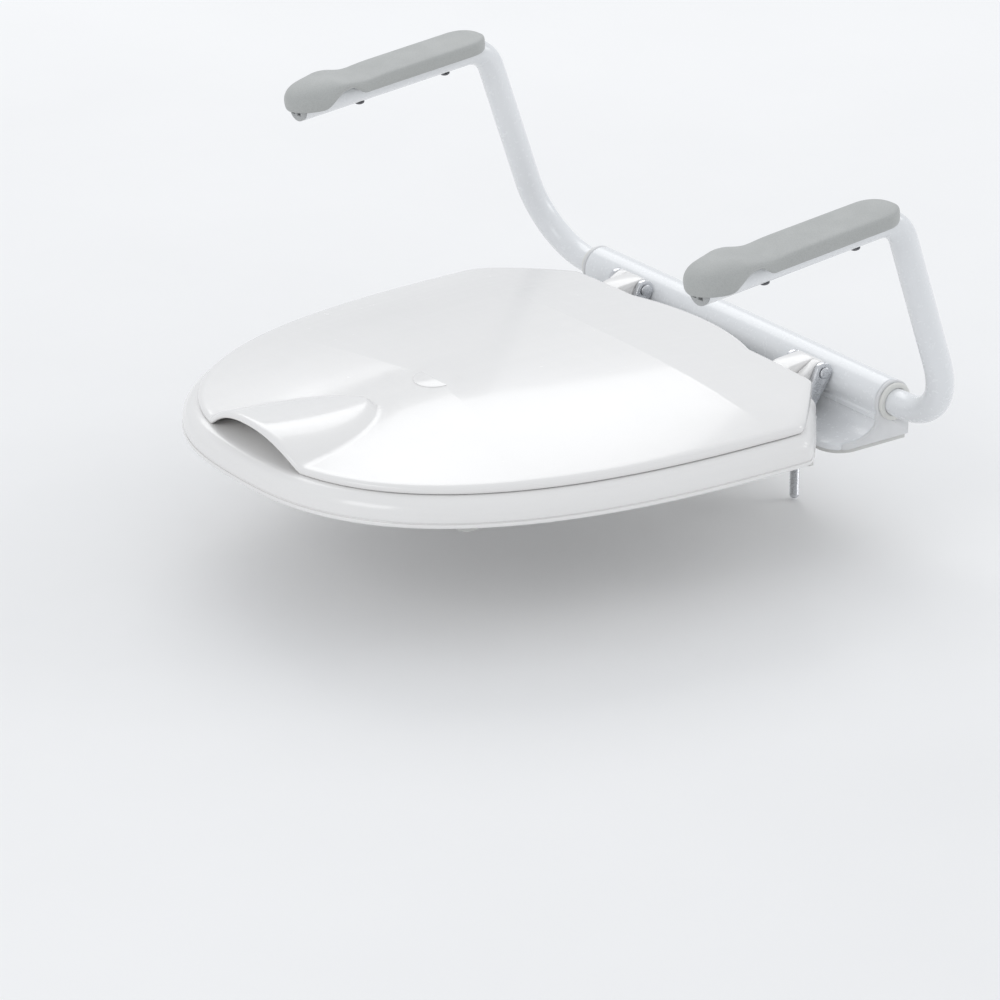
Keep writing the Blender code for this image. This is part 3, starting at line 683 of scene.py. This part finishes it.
def quarter(depth, height, top, count):
    """Rounded shoulder from the wall up to the flat top, as (distance in, height)."""
    points = []
    for i in range(count + 1):
        a = math.pi / 2.0 * i / count
        points.append((depth * (1.0 - math.cos(a)), top - height * (1.0 - math.sin(a))))
    return points


def seat_section(outer, inner):
    """Ring cross-section: fluted outer wall, rounded shoulders, hollow underside."""
    b = SEAT_BOTTOM
    t = SEAT_TOP
    outside = [(8.2, b + 11.0), (7.6, b + 1.2), (6.4, b), (1.8, b), (0.5, b + 0.4), (0.0, b + 1.3)]
    outside += [(0.0, b + 2.6), (0.3, b + 3.1), (1.3, b + 3.3), (1.5, b + 3.7), (1.3, b + 4.2)]
    outside += [(0.6, b + 4.5), (0.45, b + 5.2), (0.5, t - 13.5)]
    outside += [(0.5 + d, z) for d, z in quarter(13.4, 13.0, t, 10)]
    inside = [(d, z) for d, z in reversed(quarter(10.0, 10.0, t, 8))]
    inside += [(0.0, b + 4.0), (0.3, b + 1.4), (1.4, b), (6.4, b), (7.6, b + 1.2), (8.2, b + 11.0)]
    loop = [(*toward(outer, inner, d), z) for d, z in outside]
    start = Vector(loop[-1])
    end = Vector((*toward(inner, outer, inside[0][0]), t))
    loop += [tuple(start.lerp(end, k / 5.0)) for k in range(1, 5)]
    loop += [(*toward(inner, outer, d), z) for d, z in inside]
    ceiling_a = Vector(loop[-1])
    ceiling_b = Vector(loop[0])
    loop += [tuple(ceiling_a.lerp(ceiling_b, k / 4.0)) for k in range(1, 4)]
    return loop


def hull_outline(points):
    """Convex outline of 2-D points, anticlockwise."""
    points = sorted(set(points))
    chains = []
    for sequence in (points, points[::-1]):
        chain = []
        for p in sequence:
            while len(chain) > 1:
                a, b = chain[-2], chain[-1]
                if (b[0] - a[0]) * (p[1] - a[1]) - (b[1] - a[1]) * (p[0] - a[0]) > 0:
                    break
                chain.pop()
            chain.append(p)
        chains.append(chain[:-1])
    return chains[0] + chains[1]


def build_lug(name, span, extra, side, body):
    """Hinge lug: a round eye that tapers into the seat or the lid."""
    outline = hull_outline(circle((HINGE_Y, HINGE_Z), EYE_R, 48) + extra)
    loops = [[(x, y, z) for y, z in outline] for x in span]
    lug = add_piece(name, *mirrored(skin(loops), side))
    pin = turned([(PIN_R, 80.0 * side), (PIN_R, 150.0 * side)], (0, HINGE_Y, HINGE_Z), "x", 32)
    cut(lug, add_piece(name + "_tool", *pin))
    soften(lug, 0.9, 3, 30.0)
    finish_piece(lug, body, "seat_white", SEAT_GLOSS)


def build_seat():
    outer = plan(SEAT_OUTSET, LID_REAR_HALF + 4.0, LID_REAR + 2.0, 0.0)
    loops = [seat_section(point, hole_point(point)) for point in outer]
    seat = add_piece("seat_body", *skin(loops, ends=False, ring=True), sharp=40.0)
    finish_piece(seat, "seat", "seat_white", SEAT_GLOSS, "seat_ring")
    for side, word in SIDES:
        build_lug("seat_lug_" + word, SEAT_LUG, [(-53.5, 24.0), (-53.5, 35.0)], side, "seat")
        for spot in ("front", "rear"):
            node = "seat_bumper_" + spot + "_" + word
            rest = rounded_copy(node, "rest_" + spot + "_" + word, 0.8, 3)
            finish_piece(rest, "seat", "rubber_pale", PALE_RUBBER, node)


def hood_height(x, y):
    t = (y - LID_FRONT) / HOOD_LENGTH
    if t >= 1.0:
        return 0.0
    t = max(0.0, t)
    half = HOOD_HALF * math.sqrt(max(1e-6, 1.0 - t ** 1.7))
    u = min(1.0, abs(x) / half)
    return HOOD_H * (1.0 - u ** 2.4) ** 1.05 * (1.0 - 0.78 * t)


def dome(x, y):
    across = min(1.0, abs(x) / LID_HALF) ** PLAN_POWER
    along = min(1.0, max(0.0, (LID_SIDE_REAR - y) / (LID_SIDE_REAR - LID_FRONT))) ** PLAN_POWER
    return 1.0 - min(1.0, across + along)


def crown_height(x, y):
    return LID_CROWN * dome(x, y) ** 0.9


def front_crease(x):
    return FRONT_CREASE_Y - FRONT_CREASE_SWEEP * abs(x)


def crease_drop(x, y):
    """The lid's top falls away behind its rear crease and in front of its front crease."""
    gate = dome(x, y) ** 0.9
    rear = REAR_CREASE_SLOPE * max(0.0, y - REAR_CREASE_Y)
    gate_front = 1.0 - (1.0 - dome(x, y)) ** 2.0
    front = FRONT_CREASE_SLOPE * max(0.0, front_crease(x) - y)
    return rear * gate + front * gate_front


def lid_ring(outline, scale, inset, rise=None, drop=0.0):
    ring = []
    for point in outline:
        px, py = toward(point, (0.0, PLAN_CENTRE_Y), inset)
        px = px * scale
        py = PLAN_CENTRE_Y + (py - PLAN_CENTRE_Y) * scale
        height = rise
        if rise is None:
            height = LID_RIM_H + 0.9 + crown_height(px, py) - drop
        ring.append((px, py, LID_RIM + height + hood_height(px, py)))
    return ring


def lid_loops():
    outline = plan(0.0, LID_REAR_HALF, LID_REAR, LID_BULGE)
    rings = 62
    scales = [0.012 + 0.968 * (i / (rings - 1)) ** 0.92 for i in range(rings)]
    loops = [lid_ring(outline, s, 0.0) for s in scales]
    for inset, drop in ((3.2, 0.15), (2.0, 0.45), (1.1, 0.95), (0.45, 1.6), (0.1, 2.3)):
        loops.append(lid_ring(outline, 1.0, inset, drop=drop))
    for inset, rise in ((0.0, 2.3), (0.0, 1.1), (0.35, 0.35), (1.0, 0.0), (2.6, 0.0), (3.2, 0.4)):
        loops.append(lid_ring(outline, 1.0, inset, rise=rise))
    loops.append(lid_ring(outline, 1.0, LID_THICK + 0.2, drop=LID_THICK + 1.2))
    loops.append(lid_ring(outline, 1.0, LID_THICK + 1.4, drop=LID_THICK + 0.2))
    for s in (0.955, 0.9, 0.84, 0.76, 0.66, 0.55, 0.42, 0.28, 0.12, 0.012):
        loops.append(lid_ring(outline, s, LID_THICK * 0.6, drop=LID_THICK))
    return loops


def split(bm, point, normal, keep):
    """Cut the faces picked by keep along a plane, without removing anything."""
    faces = [f for f in bm.faces if keep(f.calc_center_median())]
    verts = {v for f in faces for v in f.verts}
    edges = {e for f in faces for e in f.edges}
    bmesh.ops.bisect_plane(bm, geom=[*verts, *edges, *faces], dist=1e-6,
                           plane_co=Vector(point) * MM, plane_no=Vector(normal))


def crease_lid(lid):
    """Edges along both creases, then the lid's facets bent down beyond them."""
    bm = bmesh.new()
    bm.from_mesh(lid.data)
    for shift in (-1.0, 0.0, 1.0):
        split(bm, (0.0, REAR_CREASE_Y + shift, 0.0), (0.0, 1.0, 0.0), lambda c: True)
    split(bm, (0.0, 0.0, 0.0), (1.0, 0.0, 0.0), lambda c: True)
    for side in (1, -1):
        for shift in (-1.0, 0.0, 1.0):
            split(bm, (0.0, FRONT_CREASE_Y + shift, 0.0), (side * FRONT_CREASE_SWEEP, 1.0, 0.0),
                  lambda c: c.x * side > 0.0)
    for v in bm.verts:
        x, y, z = v.co / MM
        v.co.z -= crease_drop(x, y) * MM
    bm.to_mesh(lid.data)
    bm.free()


def top_height(x, y):
    height = LID_RIM_H + 0.9 + crown_height(x, y) - crease_drop(x, y)
    return LID_RIM + height + hood_height(x, y)


def build_thumb_boss():
    """Low half-round boss in front of the front crease."""
    points = []
    for i in range(49):
        a = math.pi + math.pi * i / 48.0
        points.append((THUMB_R * math.cos(a), FRONT_CREASE_Y + THUMB_R * math.sin(a) * 0.9 - 1.0))
    top = [(x, y, top_height(x, y) + 0.7) for x, y in points]
    bottom = [(x, y, z - 2.2) for x, y, z in top]
    boss = soften(add_piece("thumb_boss", *skin([bottom, top])), 0.55, 3)
    finish_piece(boss, "lid", "seat_white", SEAT_GLOSS)


def build_lid():
    lid = add_piece("lid_body", *skin(lid_loops()), sharp=48.0)
    crease_lid(lid)
    build_thumb_boss()
    lid.data.set_sharp_from_angle(angle=math.radians(40.0))
    finish_piece(lid, "lid", "seat_white", SEAT_GLOSS, "lid_shell")
    tail = [(-58.0, 41.2), (-58.0, 43.6), (-49.5, 44.6), (-43.0, 49.6)]
    for side, word in SIDES:
        build_lug("lid_lug_" + word, LID_LUG, tail, side, "lid")
        for spot in ("front", "rear"):
            node = "lid_bumper_" + spot + "_" + word
            button = rounded_copy(node, "button_" + spot + "_" + word, 0.6, 3)
            finish_piece(button, "lid", "rubber_pale", PALE_RUBBER, node)


# ---------------------------------------------------------------- arm supports


def tilt_point(point):
    x, y, z = point
    along = y - PAD_TILT_Y
    above = z - PAD_TUBE_Z
    c = math.cos(PAD_TILT)
    s = math.sin(PAD_TILT)
    return (x, PAD_TILT_Y + along * c - above * s, PAD_TUBE_Z + along * s + above * c)


def bend(start, direction_in, direction_out, radius, steps):
    d_in = Vector(direction_in).normalized()
    d_out = Vector(direction_out).normalized()
    total = d_in.angle(d_out)
    inward = (d_out - d_in * d_in.dot(d_out)).normalized()
    centre = Vector(start) + inward * radius
    points = []
    for i in range(1, steps + 1):
        a = total * i / steps
        points.append(centre - inward * (radius * math.cos(a)) + d_in * (radius * math.sin(a)))
    return points


def arm_path():
    upright = Vector((0.0, -math.sin(LEAN), math.cos(LEAN)))
    forward = Vector((0.0, -math.cos(PAD_TILT), -math.sin(PAD_TILT)))
    points = [Vector((ARM_INNER_END, 0.0, PIVOT_Z)), Vector((ARM_X - LOWER_BEND_R, 0.0, PIVOT_Z))]
    points += bend(points[-1], (1, 0, 0), upright, LOWER_BEND_R, 28)
    tangent = UPPER_BEND_R * math.tan(upright.angle(forward) / 2.0)
    slope = math.tan(PAD_TILT)
    gap = PAD_TUBE_Z - points[-1].z + (points[-1].y - PAD_TILT_Y) * slope
    rise = gap / (upright.z - upright.y * slope) - tangent
    points.append(points[-1] + upright * rise)
    points += bend(points[-1], upright, forward, UPPER_BEND_R, 22)
    points.append(Vector(tilt_point((ARM_X, TUBE_FRONT, PAD_TUBE_Z))))
    return points


def sweep(points, radius, count):
    loops = []
    side = Vector((0.0, 1.0, 0.0))
    for i, point in enumerate(points):
        before = points[max(0, i - 1)]
        after = points[min(len(points) - 1, i + 1)]
        tangent = (after - before).normalized()
        side = (side - tangent * side.dot(tangent)).normalized()
        other = tangent.cross(side)
        loops.append([tuple(point + side * a + other * b) for a, b in circle((0, 0), radius, count)])
    return loops


def build_tube(side, word):
    path = arm_path()
    outer = sweep(path, TUBE_R, 56)
    outer.insert(-1, sweep(path[:-1] + [path[-1].lerp(path[-2], 0.003)], TUBE_R, 56)[-1])
    outer[-1] = sweep(path, TUBE_R - 0.35, 56)[-1]
    inner = sweep(path, TUBE_IN_R, 56)
    tube = add_piece("arm_tube_body_" + word, *mirrored(skin(outer + inner[::-1], ring=True), side))
    finish_piece(tube, "arm_" + word, "powder_white", WHITE_COAT, "arm_tube_" + word)


def pad_station(y):
    """Half-width, top, underside and knob share of the pad at a distance along the tube."""
    rear = max(0.0, (y - (PAD_REAR - PAD_HALF)) / PAD_HALF)
    half = PAD_HALF * math.sqrt(max(0.0009, 1.0 - rear * rear))
    knob = smooth((-y - 180.0) / 34.0)
    nose = min(1.0, max(0.0, (-y - 220.0) / (-PAD_FRONT - 220.0)))
    nose_round = math.sqrt(max(0.0009, 1.0 - nose ** 2.1))
    half = (half + 3.4 * knob) * nose_round
    dip = math.exp(-((y + 184.0) / 12.0) ** 2)
    top = PAD_TOP + 4.5 * knob - 1.0 * dip - 12.5 * (1.0 - math.sqrt(1.0 - nose ** 2))
    lift = smooth((-y - 186.0) / 15.0) * (1.0 - smooth((-y - 206.0) / 22.0))
    curl = smooth((-y - 206.0) / 22.0)
    under = min(PAD_UNDER + 8.6 * lift - 2.2 * curl, top - 2.4)
    edge = 1.0 - math.sqrt(max(0.0, 1.0 - rear ** 4))
    return half, top - 2.4 * edge, under + 1.2 * edge, knob


def pad_section(y):
    """Outline across the pad: flat top with rounded edges, domed over the knob."""
    half, top, under, knob = pad_station(y)
    middle = under + (0.5 - 0.14 * knob) * (top - under)
    across = 0.30 + 0.55 * knob
    height = 0.30 + 0.50 * knob
    loop = []
    count = 52
    for i in range(count + 1):
        a = math.pi * i / count
        c = math.cos(a)
        x = half * math.copysign(abs(c) ** across, c)
        loop.append((x, middle + (top - middle) * max(0.0, math.sin(a)) ** height))
    foot = min(1.8, half * 0.4)
    low = []
    for i in range(1, 5):
        a = math.pi / 2.0 * i / 5.0
        low.append((half - foot * (1.0 - math.cos(a)), middle - (middle - under) * math.sin(a)))
    groove = TUBE_R + 0.35
    channel = y > TUBE_FRONT - 4.4
    bottom = []
    inner = half - foot
    for i in range(45):
        x = inner * math.sin(math.pi / 2.0 * (1.0 - i / 22.0))
        z = under
        if channel and abs(x) < groove:
            z = max(under, math.sqrt(groove * groove - x * x))
        bottom.append((x, min(z, top - 1.4)))
    left = [(-x, z) for x, z in low]
    right = [(x, z) for x, z in reversed(low)]
    outline = loop + left + bottom[::-1] + right
    return [tilt_point((ARM_X + x, y, PAD_TUBE_Z + z)) for x, z in outline]


def pad_stations():
    ys = [PAD_REAR - PAD_HALF * (1.0 - math.cos(math.radians(3.0 + 87.0 * i / 14.0))) for i in range(15)]
    ys += [-90.0 - 8.0 * i for i in range(10)]
    ys += [-168.0 - 2.0 * i for i in range(37)]
    ys += [TUBE_FRONT - 4.35, TUBE_FRONT - 4.45]
    ys += [PAD_FRONT + 5.3 * (1.0 - math.sin(math.pi / 2.0 * i / 9.0)) for i in range(1, 10)]
    return ys


def build_pad(side, word):
    loops = [pad_section(y) for y in pad_stations()]
    pad = add_piece("grip_" + word, *mirrored(skin(loops), side), sharp=50.0)
    finish_piece(pad, "arm_" + word, "pad_grey", PAD_SKIN, "arm_pad_" + word)


def build_pad_screws(side, word):
    for y, spot in zip(PAD_SCREW_Y, ("rear", "front")):
        base = PAD_TUBE_Z - TUBE_R - 0.05
        head = screw_head("grip_screw_" + word + "_" + spot, (side * ARM_X, y), base, -1, 3.9)
        for v in head.data.vertices:
            v.co = Vector(tilt_point(v.co / MM)) * MM
        node = "pad_screw_" + word + "_" + spot
        finish_piece(head, "arm_" + word, "dark_steel", DARK_STEEL, node)


def build_arms():
    for side, word in SIDES:
        build_tube(side, word)
        build_pad(side, word)
        build_pad_screws(side, word)
        plug = rounded_copy("tube_end_plug_" + word, "plug_" + word, 0.35, 2)
        finish_piece(plug, "arm_" + word, "plug_grey", PLUG_PLASTIC, "tube_end_plug_" + word)
        collar = rounded_copy("arm_stop_collar_" + word, "collar_" + word, 0.3, 2)
        finish_piece(collar, "arm_" + word, "nylon", NYLON, "arm_stop_collar_" + word)


# ---------------------------------------------------------------- studio

CAMERA_AZIMUTH = math.radians(54.0)
CAMERA_ELEVATION = math.radians(20.0)
CAMERA_DISTANCE = 3.51
CAMERA_LENS = 162.0
AXIS_OFFSET = (-0.1307, 0.0363)
FRAME_TURN = (-0.0160, -0.0482)


def build_camera():
    """Camera at the drawing's viewing angle; the frame is turned slightly off the drawing's axis."""
    a = CAMERA_AZIMUTH
    e = CAMERA_ELEVATION
    back = Vector((math.sin(a) * math.cos(e), -math.cos(a) * math.cos(e), math.sin(e)))
    right = Vector((math.cos(a), math.sin(a), 0.0))
    up = back.cross(right)
    pivot = Vector((0.0, 0.0, PIVOT_Z * MM))
    position = pivot + back * CAMERA_DISTANCE + right * AXIS_OFFSET[0] + up * AXIS_OFFSET[1]
    aim = -back + right * FRAME_TURN[0] + up * FRAME_TURN[1]
    turn = (-back).rotation_difference(aim)
    axes = [turn @ right, turn @ up, turn @ back]
    data = bpy.data.cameras.new("camera")
    data.lens = CAMERA_LENS
    data.sensor_width = 36.0
    data.clip_end = 50.0
    camera = bpy.data.objects.new("camera", data)
    rotation = Matrix(axes).transposed().to_4x4()
    camera.matrix_world = Matrix.Translation(position) @ rotation
    bpy.context.scene.collection.objects.link(camera)
    bpy.context.scene.camera = camera


def area_light(name, position, target, size, power, colour=(1.0, 1.0, 1.0)):
    data = bpy.data.lights.new(name, "AREA")
    data.shape = "RECTANGLE"
    data.size = size[0]
    data.size_y = size[1]
    data.energy = power
    data.color = colour
    light = bpy.data.objects.new(name, data)
    light.location = position
    direction = Vector(target) - Vector(position)
    light.rotation_euler = direction.to_track_quat("-Z", "Y").to_euler()
    bpy.context.scene.collection.objects.link(light)


def build_studio():
    floor_z = BOLT_TIP * MM - 0.001
    size = 12.0
    mesh = bpy.data.meshes.new("floor")
    corners = [(-size, -size, floor_z), (size, -size, floor_z), (size, size, floor_z), (-size, size, floor_z)]
    mesh.from_pydata(corners, [], [(0, 1, 2, 3)])
    floor = bpy.data.objects.new("floor", mesh)
    bpy.context.scene.collection.objects.link(floor)
    n = Nodes("floor_paper")
    tone = n.mix(n.span(n.noise(3.0, 3.0), 0.0, 1.0), (0.87, 0.87, 0.87), (0.89, 0.89, 0.89))
    rough = n.span(n.noise(40.0, 2.0), 0.8, 0.95)
    mesh.materials.append(n.finish(tone, rough, n.bump(n.noise(300.0, 2.0), 0.05, 0.0003)))
    world = bpy.data.worlds.new("studio")
    bpy.context.scene.world = world
    world.use_nodes = True
    background = world.node_tree.nodes["Background"]
    background.inputs["Color"].default_value = (0.95, 0.97, 1.0, 1.0)
    background.inputs["Strength"].default_value = 0.8
    area_light("key", (-2.6, 0.9, 2.5), (0, -0.2, 0), (2.6, 2.0), 27.0)
    area_light("rear", (1.2, 2.6, 1.5), (0, -0.2, 0.05), (1.8, 0.8), 14.0)
    area_light("front", (0.6, -2.6, 1.6), (0, -0.2, 0.05), (1.2, 1.0), 9.0)
    bpy.context.scene.view_settings.view_transform = "Standard"


build_rail()
build_mat()
build_hinge_screws()
build_fixings()
build_seat()
build_lid()
build_arms()
build_studio()
build_camera()
